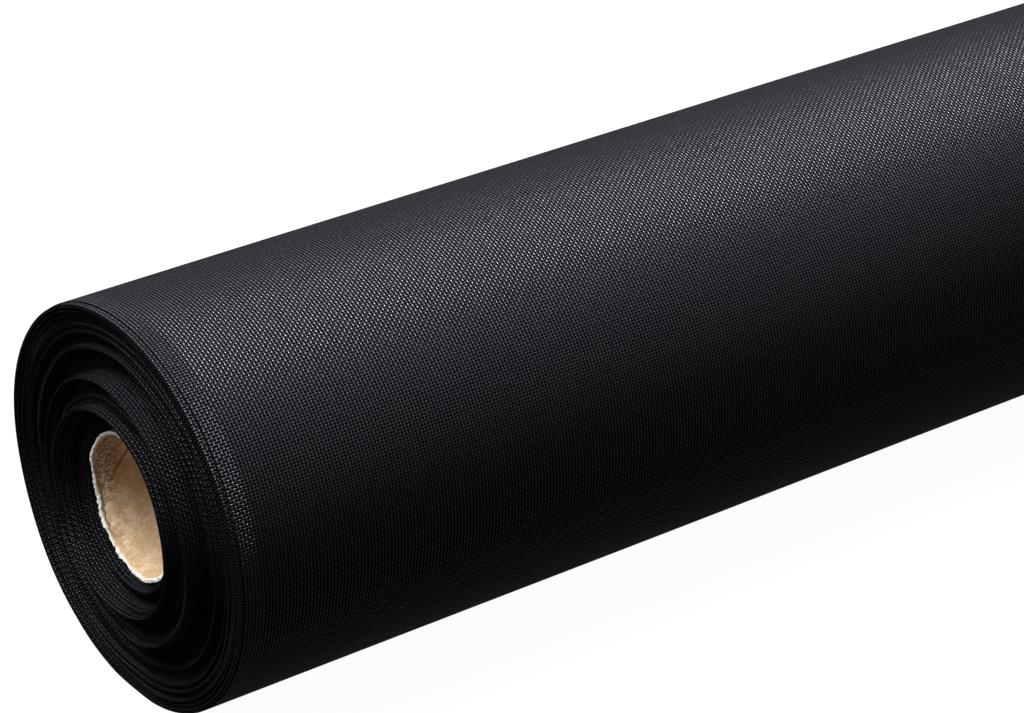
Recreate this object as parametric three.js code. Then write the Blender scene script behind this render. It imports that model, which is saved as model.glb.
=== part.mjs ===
// A roll of insect netting wound on a cardboard tube, lying on a flat surface.
// Millimetres. +X runs along the roll from its near end to its far end, -Y is the side
// that faces the viewer, +Z is up. The origin is on the surface, under the middle of the roll.
import * as THREE from "three";
import { mergeVertices } from "three/addons/utils/BufferGeometryUtils.js";

// Driving dimensions of the netting
const rollDiameter = 130;
const nettingWidth = 1000;
const settle = 0.006; // a lying roll is wider by this share than a round one, and lower by it
const flatHalfAngle = 6; // degrees, half of the flat spot that the roll rests on

// Driving dimensions of the cardboard tube
const tubeOutside = 47.5;
const tubeWall = 3;
const tubeSetBack = 3.2; // how far the tube lies inside the netting's near end

// How the round forms are faceted
const sides = 80;
const fitGap = 0.3; // between the tube and the netting's innermost turn
const stepRun = 0.45; // radial run of the slope between two groups of turns

// The groups of turns that lie out of line, from the outside in.
// radius: the group's outside, as a share of the roll's radius.
// setBack: how far its edge lies inside the near end, in mm; below zero it stands proud.
// sway: how much that varies round the roll, in mm; swayAt: the angle where it lies deepest.
// both: whether the group is thick enough to be told apart at the plain far end too.
const turnGroups = [
  { radius: 1.0, setBack: 0.3, sway: 0.7, swayAt: 320, both: true },
  { radius: 0.955, setBack: 1.2, sway: 0.4, swayAt: 157, both: false },
  { radius: 0.938, setBack: 0.2, sway: 0.3, swayAt: 20, both: false },
  { radius: 0.923, setBack: 1.1, sway: 0.3, swayAt: 250, both: true },
  { radius: 0.894, setBack: 0.1, sway: 0.3, swayAt: 310, both: false },
  { radius: 0.877, setBack: 1.3, sway: 0.3, swayAt: 190, both: false },
  { radius: 0.866, setBack: 0.2, sway: 0.4, swayAt: 350, both: true },
  { radius: 0.828, setBack: 2.8, sway: 0.4, swayAt: 80, both: true },
  { radius: 0.788, setBack: 0.5, sway: 0.4, swayAt: 200, both: true },
  { radius: 0.757, setBack: 5.0, sway: 0.5, swayAt: 80, both: true },
  { radius: 0.656, setBack: -4.5, sway: 0.5, swayAt: 230, both: true },
  { radius: 0.63, setBack: -2.6, sway: 0.4, swayAt: 330, both: false },
  { radius: 0.612, setBack: 0.4, sway: 0.3, swayAt: 330, both: false },
  { radius: 0.56, setBack: -1.3, sway: 0.4, swayAt: 100, both: false },
  { radius: 0.516, setBack: -6.4, sway: 0.5, swayAt: 280, both: true },
  { radius: 0.494, setBack: -3.4, sway: 0.4, swayAt: 60, both: false },
  { radius: 0.474, setBack: 2.2, sway: 0.4, swayAt: 150, both: true },
  { radius: 0.412, setBack: -1.7, sway: 0.3, swayAt: 40, both: false },
  { radius: 0.392, setBack: 3.0, sway: 0.2, swayAt: 200, both: false },
];

// The torn near edge of the tube, as waves: how many round it, how high in mm, and where from.
const tornEdge = [
  { waves: 2, height: 0.5, from: 30 },
  { waves: 5, height: 0.35, from: 75 },
  { waves: 11, height: 0.25, from: 10 },
];

// Sizes that follow
const rollRadius = rollDiameter / 2;
const tubeRadius = tubeOutside / 2;
const tubeBoreRadius = tubeRadius - tubeWall;
const nettingBoreRadius = tubeRadius + fitGap;
const restHeight = rollRadius * (1 - settle) * Math.cos(THREE.MathUtils.degToRad(flatHalfAngle));
const farGroups = turnGroups.filter((group) => group.both);
const proudest = Math.max(...turnGroups.map((group) => group.sway / 2 - group.setBack));
const deepest = Math.max(...farGroups.map((group) => group.sway / 2 + group.setBack));
const nearEnd = -(nettingWidth + deepest - proudest) / 2;
const farEnd = nearEnd + nettingWidth;

// Angles run from straight up towards the viewer's side.
function sideAngle(side) {
  return THREE.MathUtils.degToRad(((side % sides) * 360) / sides);
}

// The outline of the roll, a settled round that is cut off by the surface it lies on.
function outlineRadius(angle) {
  const wide = rollRadius * (1 + settle);
  const high = rollRadius * (1 - settle);
  const settled = 1 / Math.hypot(Math.sin(angle) / wide, Math.cos(angle) / high);
  const down = -Math.cos(angle);
  return down > 0 ? Math.min(settled, restHeight / down) : settled;
}

// Turns near the tube are round, and the outer ones take on the settled outline.
function turnRadius(radius, angle) {
  const outwards = (radius - tubeRadius) / (rollRadius - tubeRadius);
  return radius + (outlineRadius(angle) - rollRadius) * outwards;
}

// Turns a closed profile round the roll's axis, with each point placed by its own function.
function turnedSolid(profile, placePoint) {
  const loop = [...profile, profile[0]];
  const outline = loop.map((point) => new THREE.Vector2(point.radius, point.along));
  const turned = new THREE.LatheGeometry(outline, sides);
  const position = turned.getAttribute("position");
  for (let side = 0; side <= sides; side += 1) {
    loop.forEach((point, row) => {
      const placed = placePoint(point, sideAngle(side));
      position.setXYZ(side * loop.length + row, placed.x, placed.y, placed.z);
    });
  }
  turned.deleteAttribute("normal");
  turned.deleteAttribute("uv");
  const solid = mergeVertices(turned);
  solid.computeVertexNormals();
  return solid;
}

// A point at a radius and an angle round the roll's axis, which lies level at restHeight.
function aroundAxis(along, radius, angle) {
  return new THREE.Vector3(along, -radius * Math.sin(angle), restHeight + radius * Math.cos(angle));
}

// The edges of the groups of turns at one end, from the outside in. Every turn is as wide as
// the next, so what stands proud at one end is set back by as much at the other.
function endProfile(groups, endPlane) {
  const profile = [];
  groups.forEach((group, index) => {
    const inner = groups[index + 1];
    const outside = group.radius * rollRadius - (index > 0 ? stepRun : 0);
    const inside = inner ? inner.radius * rollRadius : nettingBoreRadius;
    profile.push({ radius: outside, along: endPlane, group });
    profile.push({ radius: inside, along: endPlane, group });
  });
  return profile;
}

function placeTurn(point, angle) {
  const { setBack, sway, swayAt } = point.group;
  const turned = angle - THREE.MathUtils.degToRad(swayAt);
  const edge = setBack + (sway / 2) * Math.cos(turned);
  return aroundAxis(point.along + edge, turnRadius(point.radius, angle), angle);
}

function makeNetting() {
  const nearFace = endProfile(turnGroups, nearEnd);
  const farFace = endProfile(farGroups, farEnd);
  const material = new THREE.MeshStandardMaterial({ color: 0x15161a, roughness: 0.55, metalness: 0 });
  const solid = turnedSolid([...farFace, ...nearFace.reverse()], placeTurn);
  const netting = new THREE.Mesh(solid, material);
  netting.name = "netting_roll";
  return netting;
}

function tornOffset(angle) {
  const lift = tornEdge.map(
    (wave) => wave.height * Math.cos(wave.waves * (angle - THREE.MathUtils.degToRad(wave.from))),
  );
  return lift.reduce((total, height) => total + height, 0);
}

function placeTubePoint(point, angle) {
  const along = point.torn ? point.along + tornOffset(angle) : point.along;
  return aroundAxis(along, point.radius, angle);
}

function makeTube() {
  const tubeNear = nearEnd + tubeSetBack;
  const tubeFar = tubeNear + nettingWidth;
  const profile = [
    { radius: tubeRadius, along: tubeFar, torn: false },
    { radius: tubeBoreRadius, along: tubeFar, torn: false },
    { radius: tubeBoreRadius, along: tubeNear, torn: true },
    { radius: tubeRadius, along: tubeNear, torn: true },
  ];
  const material = new THREE.MeshStandardMaterial({ color: 0xb08a5e, roughness: 0.9, metalness: 0 });
  const tube = new THREE.Mesh(turnedSolid(profile, placeTubePoint), material);
  tube.name = "core_tube";
  return tube;
}

const roll = new THREE.Group();
roll.add(makeNetting(), makeTube());

export default roll;
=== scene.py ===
# A roll of fine black insect netting on a brown cardboard tube, lying on a pale floor.
# Metres. +X runs along the roll from its near end, -Y is the viewer's side, +Z is up.
import math

import bpy
import numpy as np
from mathutils import Matrix, Vector


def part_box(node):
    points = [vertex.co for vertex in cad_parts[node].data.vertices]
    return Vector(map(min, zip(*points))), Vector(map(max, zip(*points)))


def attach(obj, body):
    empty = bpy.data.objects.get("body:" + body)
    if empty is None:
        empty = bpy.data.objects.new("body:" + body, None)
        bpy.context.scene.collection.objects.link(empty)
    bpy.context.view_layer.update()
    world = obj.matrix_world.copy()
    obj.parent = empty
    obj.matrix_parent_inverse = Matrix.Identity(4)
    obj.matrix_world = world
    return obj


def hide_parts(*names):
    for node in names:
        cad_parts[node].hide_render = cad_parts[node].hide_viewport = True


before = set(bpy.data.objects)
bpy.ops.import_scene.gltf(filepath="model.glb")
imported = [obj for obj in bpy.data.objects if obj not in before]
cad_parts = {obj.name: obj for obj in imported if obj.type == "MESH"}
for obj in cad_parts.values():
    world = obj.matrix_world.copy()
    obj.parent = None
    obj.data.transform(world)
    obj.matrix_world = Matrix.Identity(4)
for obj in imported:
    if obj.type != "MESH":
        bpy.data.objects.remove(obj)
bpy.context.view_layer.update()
bpy.ops.object.select_all(action="DESELECT")

# The camera stands to the left of the near end and above it, with a long lens.
# Its place is worked out from the middle of the near end, in radii of the roll.
MM = 0.001
roll_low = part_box("netting_roll")[0]
tube_low, tube_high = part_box("core_tube")
roll_radius = 65 * MM
proudest_turn = 6.65 * MM  # how far the solid's proudest turns stand out of the near plane
near_plane = roll_low.x + proudest_turn
axis_height = (tube_low.z + tube_high.z) / 2

camera_turn = math.radians(-36.3)
camera_tilt = math.radians(28.0)
near_end_right = -1.790 * roll_radius
near_end_below = 0.7044 * roll_radius
near_end_away = 17.19 * roll_radius
lens_length = 131.27
film_width = 36
view_reach = 50

up = Vector((0, 0, 1))
level_ahead = Vector((-math.sin(camera_turn), math.cos(camera_turn), 0))
right = Vector((math.cos(camera_turn), math.sin(camera_turn), 0))
ahead = math.cos(camera_tilt) * level_ahead - math.sin(camera_tilt) * up
below = -math.sin(camera_tilt) * level_ahead - math.cos(camera_tilt) * up
near_centre = Vector((near_plane, 0, axis_height))
stand = near_centre - near_end_right * right - near_end_below * below - near_end_away * ahead
facing = Matrix((right, -below, -ahead)).transposed().to_4x4()

bpy.ops.object.camera_add()
camera = bpy.context.object
camera.name = "camera"
camera.matrix_world = Matrix.Translation(stand) @ facing
camera.data.sensor_width = film_width
camera.data.lens = lens_length
camera.data.clip_end = view_reach
bpy.context.scene.camera = camera

# The netting is one length of plain-woven black plastic thread, wound up on the tube.
# This section makes its outermost turn, which runs the whole width of the net. Its edge lies
# a little inside the turns under it at the top, and its cut end is on the hidden underside.
net_width = 1.0
net_thickness = 0.3 * MM
turn_pitch = 0.385 * MM
tube_clearance = 0.3 * MM
cut_end_angle = math.radians(214)  # from straight up towards the viewer's side
tube_radius = (tube_high.z - tube_low.z) / 2
first_radius = tube_radius + tube_clearance + turn_pitch / 2
last_radius = roll_radius - net_thickness / 2
turn_count = (last_radius - first_radius) / turn_pitch

settle = 0.006  # a lying roll is wider by this share than a round one, and lower by it
flat_half_angle = math.radians(6)
flat_blend = 0.8 * MM
least_down = 0.02
rest_height = roll_radius * (1 - settle) * math.cos(flat_half_angle)


def outline_radius(angle):
    """The radius of the roll's outline, a settled round that is flat where it lies."""
    wide = roll_radius * (1 + settle)
    high = roll_radius * (1 - settle)
    settled = 1 / np.hypot(np.sin(angle) / wide, np.cos(angle) / high)
    resting = rest_height / np.maximum(-np.cos(angle), least_down)
    apart = np.clip((resting - settled) / flat_blend, -1, 1)
    return np.minimum(settled, resting) - flat_blend * (1 - np.abs(apart)) ** 2 / 4


def turn_radius(radius, angle):
    """Turns near the tube are round, and the outer ones take on the settled outline."""
    outwards = (radius - tube_radius) / (roll_radius - tube_radius)
    return radius + (outline_radius(angle) - roll_radius) * outwards


# The groups of turns that lie out of line at the near end, from the outside in. Each has its
# radius as a share of the roll's, how far its edge lies inside the near plane, how much that
# varies round the roll, both in mm, and the angle where it lies deepest, in degrees.
turn_groups = [
    (1.000, 1.4, 2.4, 5),
    (0.994, -0.4, 1.4, 165),
    (0.972, 0.9, 0.5, 330),
    (0.962, -0.1, 0.8, 170),
    (0.951, 1.3, 0.4, 157),
    (0.938, 0.2, 0.3, 20),
    (0.925, 1.2, 0.3, 250),
    (0.896, 0.1, 0.3, 310),
    (0.881, 1.5, 0.3, 190),
    (0.863, 0.2, 0.4, 350),
    (0.848, 2.3, 0.4, 80),
    (0.828, 3.0, 0.4, 80),
    (0.788, 0.5, 0.4, 200),
    (0.770, 2.2, 0.4, 200),
    (0.757, 5.0, 0.5, 80),
    (0.656, -3.6, 2.6, 270),
    (0.638, -1.6, 2.2, 280),
    (0.612, 0.4, 0.3, 330),
    (0.560, -1.3, 0.4, 100),
    (0.516, -5.4, 1.2, 275),
    (0.499, -2.9, 0.9, 285),
    (0.474, 2.2, 0.4, 150),
    (0.412, 0.2, 2.4, 290),
    (0.392, 3.0, 0.2, 200),
]
group_slope = 0.45 * MM  # the radial run of the slope between two groups
group_unevenness = 0.13 * MM
group_waves = range(2, 8)  # how many waves round the roll each unevenness has
group_seed = 5


def group_edge(radius, angle):
    """How far the edge of the turn at a radius lies inside the near plane."""
    chance = np.random.default_rng(group_seed)
    stations, edges = [], []
    for index, (share, set_back, sway, sway_at) in enumerate(turn_groups):
        innermost = index + 1 == len(turn_groups)
        next_share = 0 if innermost else turn_groups[index + 1][0]
        inside = first_radius - turn_pitch if innermost else next_share * roll_radius
        edge = set_back * MM + sway / 2 * MM * np.cos(angle - math.radians(sway_at))
        for waves in group_waves:
            height = chance.normal(0, group_unevenness)
            start = chance.uniform(0, 2 * math.pi)
            edge = edge + height * np.cos(waves * angle + start)
        stations += [inside + group_slope / 2, share * roll_radius - group_slope / 2]
        edges += [edge, edge]
    order = np.argsort(stations)
    at = np.array(stations)[order]
    edges = np.array(edges)[order]
    upper = np.clip(np.searchsorted(at, radius), 1, len(at) - 1)
    part = np.clip((radius - at[upper - 1]) / (at[upper] - at[upper - 1]), 0, 1)
    turn = np.arange(len(angle))
    return edges[upper - 1, turn] * (1 - part) + edges[upper, turn] * part


# How a turn's edge strays from its group's: each time the step in turns, the size and the seed.
edge_wander = [
    (0.31, 0.16 * MM, 11),
    (0.90, 0.16 * MM, 12),
]


def wander(turns, step, size, seed):
    """Smooth random numbers along the winding, with a new one each step of a turn."""
    knots = np.random.default_rng(seed).normal(0, size, int(turn_count / step) + 4)
    place = turns / step
    low = np.floor(place).astype(int)
    part = place - low
    part = part * part * (3 - 2 * part)
    return knots[low] * (1 - part) + knots[low + 1] * part


# The slow ripples on the roll's side, in waves round it and in radians a metre along it.
ripple_waves_round = 5
ripple_slant = 9
ripple_along = 21
ripple_bend = 2
ripple_bend_waves = 3
ripple_fade = 50 * MM  # they die out over this length towards each end


def ripples(angle, along):
    """Slow ripples of the net's uneven tension, from nought to two."""
    slanting = np.sin(ripple_waves_round * angle + ripple_slant * along)
    bend = ripple_bend * np.cos(ripple_bend_waves * angle)
    return 1 + slanting * np.sin(along * ripple_along + bend)


def sheet_faces(count, across):
    """The faces of a sheet's two skins and four edges, for rows of points across its length."""
    outer = np.arange(count * across).reshape(count, across)
    inner = outer + count * across

    def quads(a, b, c, d):
        return np.stack([a, b, c, d], -1).reshape(-1, 4)

    return np.concatenate([
        quads(outer[:-1, :-1], outer[1:, :-1], outer[1:, 1:], outer[:-1, 1:]),
        quads(inner[:-1, 1:], inner[1:, 1:], inner[1:, :-1], inner[:-1, :-1]),
        quads(outer[1:, 0], outer[:-1, 0], inner[:-1, 0], inner[1:, 0]),
        quads(outer[:-1, -1], outer[1:, -1], inner[1:, -1], inner[:-1, -1]),
        quads(outer[0, :-1], outer[0, 1:], inner[0, 1:], inner[0, :-1]),
        quads(outer[-1, 1:], outer[-1, :-1], inner[-1, :-1], inner[-1, 1:]),
    ])


smooth_below = math.radians(35)


def wound_sheet(name, first_turn, last_turn, steps, rows, waviness=0):
    """A length of the net between two turns of its winding, with its flat map of the weave.

    Steps are points in each turn, and rows are distances from the net's near edge.
    """
    count = int(round((last_turn - first_turn) * steps)) + 1
    turns = np.linspace(first_turn, last_turn, count)
    angle = cut_end_angle + 2 * math.pi * (turns - turn_count)
    nominal = first_radius + turn_pitch * turns
    edge = near_plane + group_edge(nominal, angle)
    for step, size, seed in edge_wander:
        edge = edge + wander(turns, step, size, seed)
    rows = np.array(rows, float)
    along = edge[:, None] + rows[None, :]
    from_end = np.minimum(rows, net_width - rows)
    calm = np.clip(from_end / ripple_fade, 0, 1)
    lift = waviness * calm[None, :] * ripples(angle[:, None], along)

    points = []
    for side in (0.5, -0.5):
        radius = turn_radius(nominal + side * net_thickness, angle)[:, None] + lift
        skin = np.empty((count, len(rows), 3))
        skin[..., 0] = along
        skin[..., 1] = -radius * np.sin(angle)[:, None]
        skin[..., 2] = axis_height + radius * np.cos(angle)[:, None]
        points.append(skin.reshape(-1, 3))
    faces = sheet_faces(count, len(rows))
    mesh = bpy.data.meshes.new(name)
    mesh.from_pydata(np.concatenate(points).tolist(), [], faces.tolist())

    wound_length = 2 * math.pi * (first_radius * turns + turn_pitch * turns * turns / 2)
    flat = np.broadcast_arrays(wound_length[:, None], rows[None, :])
    flat = np.stack(flat, -1).reshape(-1, 2)
    flat = np.concatenate([flat, flat])
    weave = mesh.uv_layers.new(name="weave")
    weave.data.foreach_set("uv", flat[faces.ravel()].astype(np.float32).ravel())
    mesh.update()

    piece = bpy.data.objects.new(name, mesh)
    bpy.context.scene.collection.objects.link(piece)
    bpy.ops.object.select_all(action="DESELECT")
    piece.select_set(True)
    bpy.context.view_layer.objects.active = piece
    bpy.ops.object.shade_smooth_by_angle(angle=smooth_below)
    return piece


def new_material(name):
    """A node material, its tree of nodes and its shader."""
    material = bpy.data.materials.new(name)
    material.use_nodes = True
    return material, material.node_tree, material.node_tree.nodes["Principled BSDF"]


def node(tree, kind, inputs=(), output=0, **settings):
    """Adds a node, sets or links its inputs by place or name, and returns one of its outputs."""
    made = tree.nodes.new(kind)
    for key, value in settings.items():
        setattr(made, key, value)
    pairs = inputs.items() if isinstance(inputs, dict) else enumerate(inputs)
    for key, value in pairs:
        if isinstance(value, bpy.types.NodeSocket):
            tree.links.new(value, made.inputs[key])
        elif value is not None:
            made.inputs[key].default_value = value
    return made.outputs[output]


def calc(tree, operation, *values):
    """The result of a sum or function of numbers and sockets."""
    return node(tree, "ShaderNodeMath", values, operation=operation)


def remap(tree, value, start, end, first=0.0, last=1.0):
    """Runs from the first number to the last as the value runs from start to end."""
    return node(tree, "ShaderNodeMapRange", {0: value, 1: start, 2: end, 3: first, 4: last})


def blend(tree, share, first, second):
    """Goes from the first colour to the second as the share grows to one."""
    inputs = {0: share, 6: first, 7: second}
    return node(tree, "ShaderNodeMix", inputs, output=2, data_type="RGBA")


def axes(tree, vector):
    """The three parts of a vector."""
    parts = tree.nodes.new("ShaderNodeSeparateXYZ")
    tree.links.new(vector, parts.inputs[0])
    return parts.outputs


def set_surface(tree, shader, colour, height, depth, strength):
    """Gives the shader its colour, and a relief of a height pattern times a depth."""
    relief = {"Height": height, "Distance": depth, "Strength": strength}
    tree.links.new(colour, shader.inputs["Base Color"])
    tree.links.new(node(tree, "ShaderNodeBump", relief), shader.inputs["Normal"])


lengthwise_pitch = 0.973 * MM  # from one thread that runs along the roll to the next
round_pitch = 1.190 * MM  # from one thread that runs round the roll to the next
thread_half_width = 0.21  # as a share of the pitch
crimp = 0.6
thread_height = 0.11 * MM
# The first height is where the painted shade of the holes is full, which threads also reach where
# they dip under each other; the second is where the thread's own colour is full.
full_shade_below, thread_above = 1.3, 2.35  # heights in the weave where each colour is full
thread_colour = (0.024, 0.026, 0.032, 1)
# The hole colour is a painted shade: near black, standing for the shaded turns below that show
# through the holes.
hole_shade_colour = (0.002, 0.002, 0.0022, 1)
thread_roughness = 0.30
hole_roughness = 0.8
gloss_tint = (0.84, 0.87, 1.0, 1)
round_gloss = 1.0  # of the threads that run round the roll, which lie proud
lengthwise_gloss = 0.12
selvedge_width = 6 * MM  # the firmer margin along both edges of the net
selvedge_relief = 1.6
selvedge_gloss = 0.6


def thread_rise(tree, place, weaving):
    """How high one family of round threads stands, as it weaves over and under the other."""
    off = calc(tree, "SUBTRACT", calc(tree, "FRACT", place), 0.5)
    share = calc(tree, "DIVIDE", off, thread_half_width)
    roundness = calc(tree, "SUBTRACT", 1.0, calc(tree, "MULTIPLY", share, share))
    on_thread = calc(tree, "GREATER_THAN", roundness, 0.0)
    profile = calc(tree, "SQRT", calc(tree, "MAXIMUM", roundness, 0.0))
    risen = calc(tree, "ADD", calc(tree, "ADD", profile, weaving), 1.0)
    return calc(tree, "MULTIPLY", risen, on_thread)


def netting_material():
    """Plain weave of satin black thread, laid out by the net's own flat map, with painted shade
    in the holes and where threads dip under.
    """
    material, tree, shader = new_material("netting")
    flat_map = axes(tree, node(tree, "ShaderNodeUVMap", uv_map="weave"))
    across_lengthwise = calc(tree, "DIVIDE", flat_map[0], lengthwise_pitch)
    across_round = calc(tree, "DIVIDE", flat_map[1], round_pitch)
    wave = calc(
        tree, "MULTIPLY",
        calc(tree, "SINE", calc(tree, "MULTIPLY", across_lengthwise, math.pi)),
        calc(tree, "SINE", calc(tree, "MULTIPLY", across_round, math.pi)),
    )
    lengthwise = thread_rise(tree, across_lengthwise, calc(tree, "MULTIPLY", wave, crimp))
    round_roll = thread_rise(tree, across_round, calc(tree, "MULTIPLY", wave, -crimp))
    height = calc(tree, "MAXIMUM", lengthwise, round_roll)
    # Painted shade: the share of thread colour falls to nought in the holes and is low where a
    # thread dips under the other.
    cover_and_shade = remap(tree, height, full_shade_below, thread_above)

    from_far_edge = calc(tree, "SUBTRACT", net_width, flat_map[1])
    from_edge = calc(tree, "MINIMUM", flat_map[1], from_far_edge)
    selvedge = remap(tree, from_edge, 0.8 * selvedge_width, 1.2 * selvedge_width, 1.0, 0.0)
    firmer = calc(tree, "ADD", 1.0, calc(tree, "MULTIPLY", selvedge, selvedge_relief))

    on_round = calc(tree, "GREATER_THAN", round_roll, lengthwise)
    gloss = remap(tree, on_round, 0.0, 1.0, lengthwise_gloss, round_gloss)
    gloss = calc(tree, "MAXIMUM", gloss, calc(tree, "MULTIPLY", selvedge, selvedge_gloss))
    gloss = calc(tree, "MULTIPLY", cover_and_shade, gloss)
    rough = remap(tree, cover_and_shade, 0.0, 1.0, hole_roughness, thread_roughness)
    tree.links.new(rough, shader.inputs["Roughness"])
    tree.links.new(gloss, shader.inputs["Specular IOR Level"])
    shader.inputs["Specular Tint"].default_value = gloss_tint
    # The thread's own colour shows on the crowns, with painted shade in the holes and under the
    # crossings.
    colour = blend(tree, cover_and_shade, hole_shade_colour, thread_colour)
    set_surface(tree, shader, colour, calc(tree, "MULTIPLY", height, firmer), thread_height, 1.0)
    return material


netting = netting_material()
wrap_steps = 240
wrap_waviness = 0.06 * MM
edge_row = 4 * MM
inner_row = 10 * MM
inner_row_count = 81
inner_rows = np.linspace(inner_row, net_width - inner_row, inner_row_count)
wrap_rows = [0, edge_row, *inner_rows, net_width - edge_row, net_width]
outer_wrap = wound_sheet(
    "outer_wrap", turn_count - 1, turn_count, wrap_steps, wrap_rows, waviness=wrap_waviness
)
outer_wrap.data.materials.append(netting)
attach(outer_wrap, "root")
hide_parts("netting_roll")

# The turns under it show only at the two ends, so there each end's margin of the same net is
# wound in one unbroken spiral, from the tube outwards. Its turns lie in and out of line in
# groups, and what stands proud at the near end is set back by as much at the far end.
margin = 12 * MM
spiral_steps = 120
end_turns = {
    "near_end_turns": (0, margin),
    "far_end_turns": (net_width - margin, net_width),
}
for name, rows in end_turns.items():
    turns = wound_sheet(name, 0, turn_count - 1, spiral_steps, rows)
    turns.data.materials.append(netting)
    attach(turns, "root")
    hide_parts("netting_roll")

# The tube is spirally wound brown kraft board with a wall of three millimetres. It was cut
# roughly: its outer plies end in a pale torn rim, and the inner ply is torn back inside them.
tube_sides = 360
tube_wall = 3 * MM
tube_set_back = 2.9 * MM
tube_near = near_plane + tube_set_back
bore_radius = tube_radius - tube_wall
# Each ring of the mouth, from the bore out to the rim: its radius beyond the bore and its
# distance inside the rim, in mm, and its share in the tearing of the rim and of the inner ply.
mouth_rings = [
    (0.00, 12.0, 0.0, 0.0),
    (0.00, 8.0, 0.1, 0.1),
    (0.05, 6.0, 0.4, 0.4),
    (0.20, 4.6, 0.8, 0.8),
    (0.60, 3.4, 1.0, 1.0),
    (1.10, 2.7, 1.0, 1.0),
    (1.50, 2.1, 1.0, 0.8),
    (1.68, 1.2, 1.0, 0.4),
    (1.78, 0.3, 1.0, 0.1),
    (2.00, 0.0, 1.0, 0.0),
    (2.40, -0.1, 1.0, 0.0),
    (2.85, 0.0, 1.0, 0.0),
]
tube_rings = [(tube_radius, net_width), (bore_radius, net_width)]
tube_rings += [(bore_radius + out * MM, inside * MM) for out, inside, rim, ply in mouth_rings]

bpy.ops.object.select_all(action="DESELECT")
bpy.ops.mesh.primitive_circle_add(
    vertices=tube_sides, radius=tube_radius,
    location=(tube_near, 0, axis_height), rotation=(0, math.pi / 2, 0),
)
cardboard_tube = bpy.context.object
cardboard_tube.name = "cardboard_tube"
bpy.ops.object.transform_apply(location=True, rotation=True, scale=True)
bpy.ops.object.mode_set(mode="EDIT")
bpy.ops.mesh.select_all(action="SELECT")
ring_radius = tube_radius
ring_place = 0
for radius, place in tube_rings:
    bpy.ops.mesh.extrude_edges_move(TRANSFORM_OT_translate={"value": (place - ring_place, 0, 0)})
    widen = radius / ring_radius
    bpy.ops.transform.resize(value=(1, widen, widen), center_override=(0, 0, axis_height))
    ring_radius, ring_place = radius, place
bpy.ops.mesh.select_all(action="DESELECT")
bpy.ops.mesh.select_mode(type="EDGE")
bpy.ops.mesh.select_non_manifold()
bpy.ops.mesh.bridge_edge_loops()
bpy.ops.mesh.select_all(action="SELECT")
bpy.ops.mesh.normals_make_consistent(inside=False)
bpy.ops.object.mode_set(mode="OBJECT")

rim_unevenness = 0.8 * MM  # the rim lies deepest at two sides of the tube
rim_deepest = math.radians(240)
mouth_reach = 13  # mm, past which the tube is untouched
outer_wall_from = 2.9  # mm beyond the bore
rim_group = cardboard_tube.vertex_groups.new(name="torn_rim")
ply_group = cardboard_tube.vertex_groups.new(name="torn_ply")
for point in cardboard_tube.data.vertices:
    inside = (point.co.x - tube_near) / MM
    out = (math.hypot(point.co.y, point.co.z - axis_height) - bore_radius) / MM
    if inside > mouth_reach:
        continue
    ring = min(mouth_rings, key=lambda row: math.hypot(row[0] - out, row[1] - inside))
    on_outer_wall = out > outer_wall_from
    on_rim = 1.0 if on_outer_wall else ring[2]
    on_ply = 0.0 if on_outer_wall else ring[3]
    angle = math.atan2(-point.co.y, point.co.z - axis_height)
    point.co.x += on_rim * rim_unevenness * math.cos(2 * (angle - rim_deepest))
    rim_group.add([point.index], on_rim, "REPLACE")
    ply_group.add([point.index], on_ply, "REPLACE")

# Each tear: its name, what it moves, how far, the size of its clouds, and which way it goes.
tears = [
    ("rim_tear", "torn_rim", 2.4 * MM, 9 * MM, "X"),
    ("rim_nicks", "torn_rim", 1.2 * MM, 1.3 * MM, "X"),
    ("ply_tear", "torn_ply", 2.2 * MM, 2.2 * MM, "X"),
    ("ply_fray", "torn_ply", 0.5 * MM, 0.9 * MM, "NORMAL"),
]
smooth_tube_below = math.radians(40)
for name, group, strength, size, direction in tears:
    clouds = bpy.data.textures.new(name, "CLOUDS")
    clouds.noise_scale = size
    tear = cardboard_tube.modifiers.new(name, "DISPLACE")
    tear.texture = clouds
    tear.texture_coords = "LOCAL"
    tear.vertex_group = group
    tear.strength = strength
    tear.direction = direction
    bpy.ops.object.modifier_apply(modifier=name)
bpy.ops.object.shade_smooth_by_angle(angle=smooth_tube_below)

board_colour = (0.60, 0.40, 0.22, 1)
board_pale = (0.80, 0.62, 0.42, 1)
# The dark board colour draws the real seams and specks, and also the painted shadow in the split
# between the plies.
board_dark_and_shade = (0.14, 0.075, 0.035, 1)
rim_colour = (0.98, 0.95, 0.88, 1)
board_roughness = 0.92
fibre_scale, fibre_detail, fibre_share = 1100, 4, 0.45
mottle_scale, mottle_detail, mottle_share = 170, 5, 0.55
brown_below, pale_above = 0.42, 0.58  # of the two patterns together
fibre_relief = 0.25 * MM
relief_strength = 0.8
rim_from, rim_full = 1.70 * MM, 1.90 * MM  # beyond the bore
# The spiral seams that show in the bore: the turn where each starts at the rim, their lead, and
# the half widths of their dark middle and soft edge in turns. They fade out near the torn ply.
seam_starts = (0.753, 0.667)
seam_lead = 0.078
seam_core, seam_edge = 0.003, 0.011
seam_darkness = 0.9
seam_fades_from, seam_fades_to = 8 * MM, 3 * MM
# The painted shadow line in the gap where the plies have come apart: its radius beyond the bore
# and half widths, and its place round the rim with the half widths of its reach, in turns.
split_radius = 1.72 * MM
split_core, split_edge = 0.03 * MM, 0.08 * MM
split_most_at = 0.69
split_reach, split_reach_fade = 0.06, 0.10
split_shadow_darkness = 0.9
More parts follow.
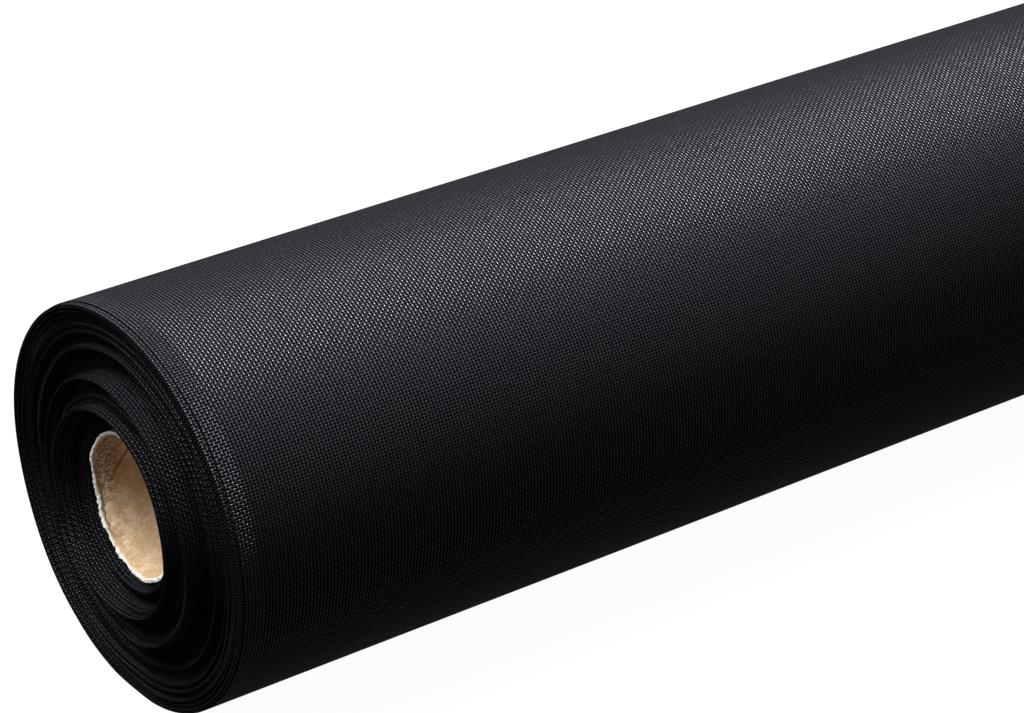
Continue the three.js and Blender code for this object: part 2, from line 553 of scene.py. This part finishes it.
# The specks of the torn inner ply, how deep they go into the mouth, and their place round it with
# the half widths of their reach, in turns.
speck_scale, speck_detail, speck_roughness = 1300, 3, 0.6
speck_from, speck_full = 0.46, 0.53
speck_darkness = 0.8
speck_depth, speck_depth_fade = 5 * MM, 8.5 * MM
torn_most_at = 0.80
torn_reach, torn_reach_fade = 0.07, 0.14
torn_elsewhere = 0.08


def noise(tree, place, scale, detail, roughness=0.5):
    """A cloudy pattern with a number of features a metre."""
    inputs = {"Vector": place, "Scale": scale, "Detail": detail, "Roughness": roughness}
    return node(tree, "ShaderNodeTexNoise", inputs)


def away_from(tree, value, centre):
    """How far a value is from a centre, on either side."""
    return calc(tree, "ABSOLUTE", calc(tree, "SUBTRACT", value, centre))


def draw_seam(tree, colour, turn, inside, start):
    """Draws a dark spiral seam over a colour, for a turn and a distance inside the rim."""
    middle = 0.5
    winding = calc(tree, "SUBTRACT", turn, calc(tree, "DIVIDE", inside, seam_lead))
    winding = calc(tree, "FRACT", calc(tree, "ADD", winding, 2 + middle - start))
    off_seam = away_from(tree, winding, middle)
    seam = remap(tree, off_seam, seam_core, seam_edge, seam_darkness, 0.0)
    whole_ply = remap(tree, inside, seam_fades_to, seam_fades_from)
    return blend(tree, calc(tree, "MULTIPLY", seam, whole_ply), colour, board_dark_and_shade)


def draw_specks(tree, colour, place, turn, inside):
    """Speckles a colour where the inner ply is torn, most of all at one side of the mouth."""
    grain = noise(tree, place, speck_scale, speck_detail, speck_roughness)
    specks = remap(tree, grain, speck_from, speck_full, 0.0, speck_darkness)
    near_tear = remap(tree, inside, speck_depth, speck_depth_fade, 1.0, 0.0)
    off_worst = away_from(tree, turn, torn_most_at - 1.0)
    worst = remap(tree, off_worst, torn_reach, torn_reach_fade, 1.0, torn_elsewhere)
    near_tear = calc(tree, "MULTIPLY", near_tear, worst)
    return blend(tree, calc(tree, "MULTIPLY", specks, near_tear), colour, board_dark_and_shade)


def draw_split_shadow(tree, colour, turn, beyond_bore):
    """Paints a shadow line in the gap where the plies have come apart just inside the rim."""
    off_split = away_from(tree, beyond_bore, split_radius)
    split_shadow = remap(tree, off_split, split_core, split_edge, split_shadow_darkness, 0.0)
    off_worst = away_from(tree, turn, split_most_at - 1.0)
    gaping = remap(tree, off_worst, split_reach, split_reach_fade, 1.0, 0.0)
    return blend(tree, calc(tree, "MULTIPLY", split_shadow, gaping), colour, board_dark_and_shade)


def board_material():
    """Brown fibrous board, with dark spiral seams, a pale torn rim, a speckled torn ply and a
    painted shadow line where the plies part.
    """
    material, tree, shader = new_material("cardboard")
    place = node(tree, "ShaderNodeTexCoord", output=3)
    parts = axes(tree, place)
    inside = calc(tree, "SUBTRACT", parts[0], tube_near)
    above_axis = calc(tree, "SUBTRACT", parts[2], axis_height)
    squares = [calc(tree, "MULTIPLY", part, part) for part in (parts[1], above_axis)]
    distance = calc(tree, "SQRT", calc(tree, "ADD", *squares))
    beyond_bore = calc(tree, "SUBTRACT", distance, bore_radius)
    towards_viewer = calc(tree, "MULTIPLY", parts[1], -1.0)
    angle = calc(tree, "ARCTAN2", towards_viewer, above_axis)
    turn = calc(tree, "DIVIDE", angle, 2 * math.pi)

    fibres = noise(tree, place, fibre_scale, fibre_detail)
    mottle = noise(tree, place, mottle_scale, mottle_detail)
    mixed = calc(
        tree, "ADD",
        calc(tree, "MULTIPLY", fibres, fibre_share), calc(tree, "MULTIPLY", mottle, mottle_share),
    )
    colour = blend(tree, remap(tree, mixed, brown_below, pale_above), board_colour, board_pale)
    for start in seam_starts:
        colour = draw_seam(tree, colour, turn, inside, start)
    colour = draw_specks(tree, colour, place, turn, inside)
    # Painted shadow in the split between the plies.
    colour = draw_split_shadow(tree, colour, turn, beyond_bore)
    on_rim = remap(tree, beyond_bore, rim_from, rim_full)
    colour = blend(tree, on_rim, colour, rim_colour)
    shader.inputs["Roughness"].default_value = board_roughness
    set_surface(tree, shader, colour, mixed, fibre_relief, relief_strength)
    return material


cardboard_tube.data.materials.append(board_material())
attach(cardboard_tube, "root")
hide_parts("core_tube")

# The floor is a plain pale sweep with a smooth matt surface, wide enough to fill the view.
# Its brightness is its own and lights nothing else, so the dark net keeps its blacks.
floor_size = 14
floor_colour = (0.05, 0.05, 0.05, 1)
floor_roughness = 0.9
floor_glow = 0.97
bpy.ops.mesh.primitive_plane_add(size=floor_size, location=(0, 0, 0))
floor = bpy.context.object
floor.name = "floor"
pale, _, pale_shader = new_material("pale_floor")
pale_shader.inputs["Base Color"].default_value = floor_colour
pale_shader.inputs["Roughness"].default_value = floor_roughness
pale_shader.inputs["Emission Color"].default_value = (1, 1, 1, 1)
pale_shader.inputs["Emission Strength"].default_value = floor_glow
floor.data.materials.append(pale)
floor.visible_glossy = False
floor.visible_diffuse = False

# The light is a wide soft lamp above the near end, which also reaches into the tube, and a
# narrower one above the far end and a little behind the roll. A faint even light comes from all
# round. Each lamp has the way towards it, its strength, and how wide it looks, in degrees.
lamps = {
    "soft_top_lamp": ((-0.42, 0.15, 0.89), 4.0, 45),
    "far_top_lamp": ((0.52, 0.27, 0.81), 4.5, 20),
}
for name, (way, strength, width) in lamps.items():
    bpy.ops.object.light_add(type="SUN", location=way)
    lamp = bpy.context.object
    lamp.name = name
    lamp.data.energy = strength
    lamp.data.angle = math.radians(width)
    lamp.rotation_euler = Vector(way).to_track_quat("Z", "Y").to_euler()

even_light = 0.09
backdrop_brightness = 1.0
world = bpy.data.worlds.new("studio")
bpy.context.scene.world = world
world.use_nodes = True
world_tree = world.node_tree
sky = world_tree.nodes["Background"]
sky.inputs["Strength"].default_value = even_light
sky.inputs["Color"].default_value = (1, 1, 1, 1)
backdrop = world_tree.nodes.new("ShaderNodeBackground")
backdrop.inputs["Strength"].default_value = backdrop_brightness
seen = world_tree.nodes.new("ShaderNodeLightPath")
either = world_tree.nodes.new("ShaderNodeMixShader")
world_tree.links.new(seen.outputs["Is Camera Ray"], either.inputs[0])
world_tree.links.new(sky.outputs[0], either.inputs[1])
world_tree.links.new(backdrop.outputs[0], either.inputs[2])
world_tree.links.new(either.outputs[0], world_tree.nodes["World Output"].inputs[0])
bpy.context.scene.view_settings.view_transform = "Standard"
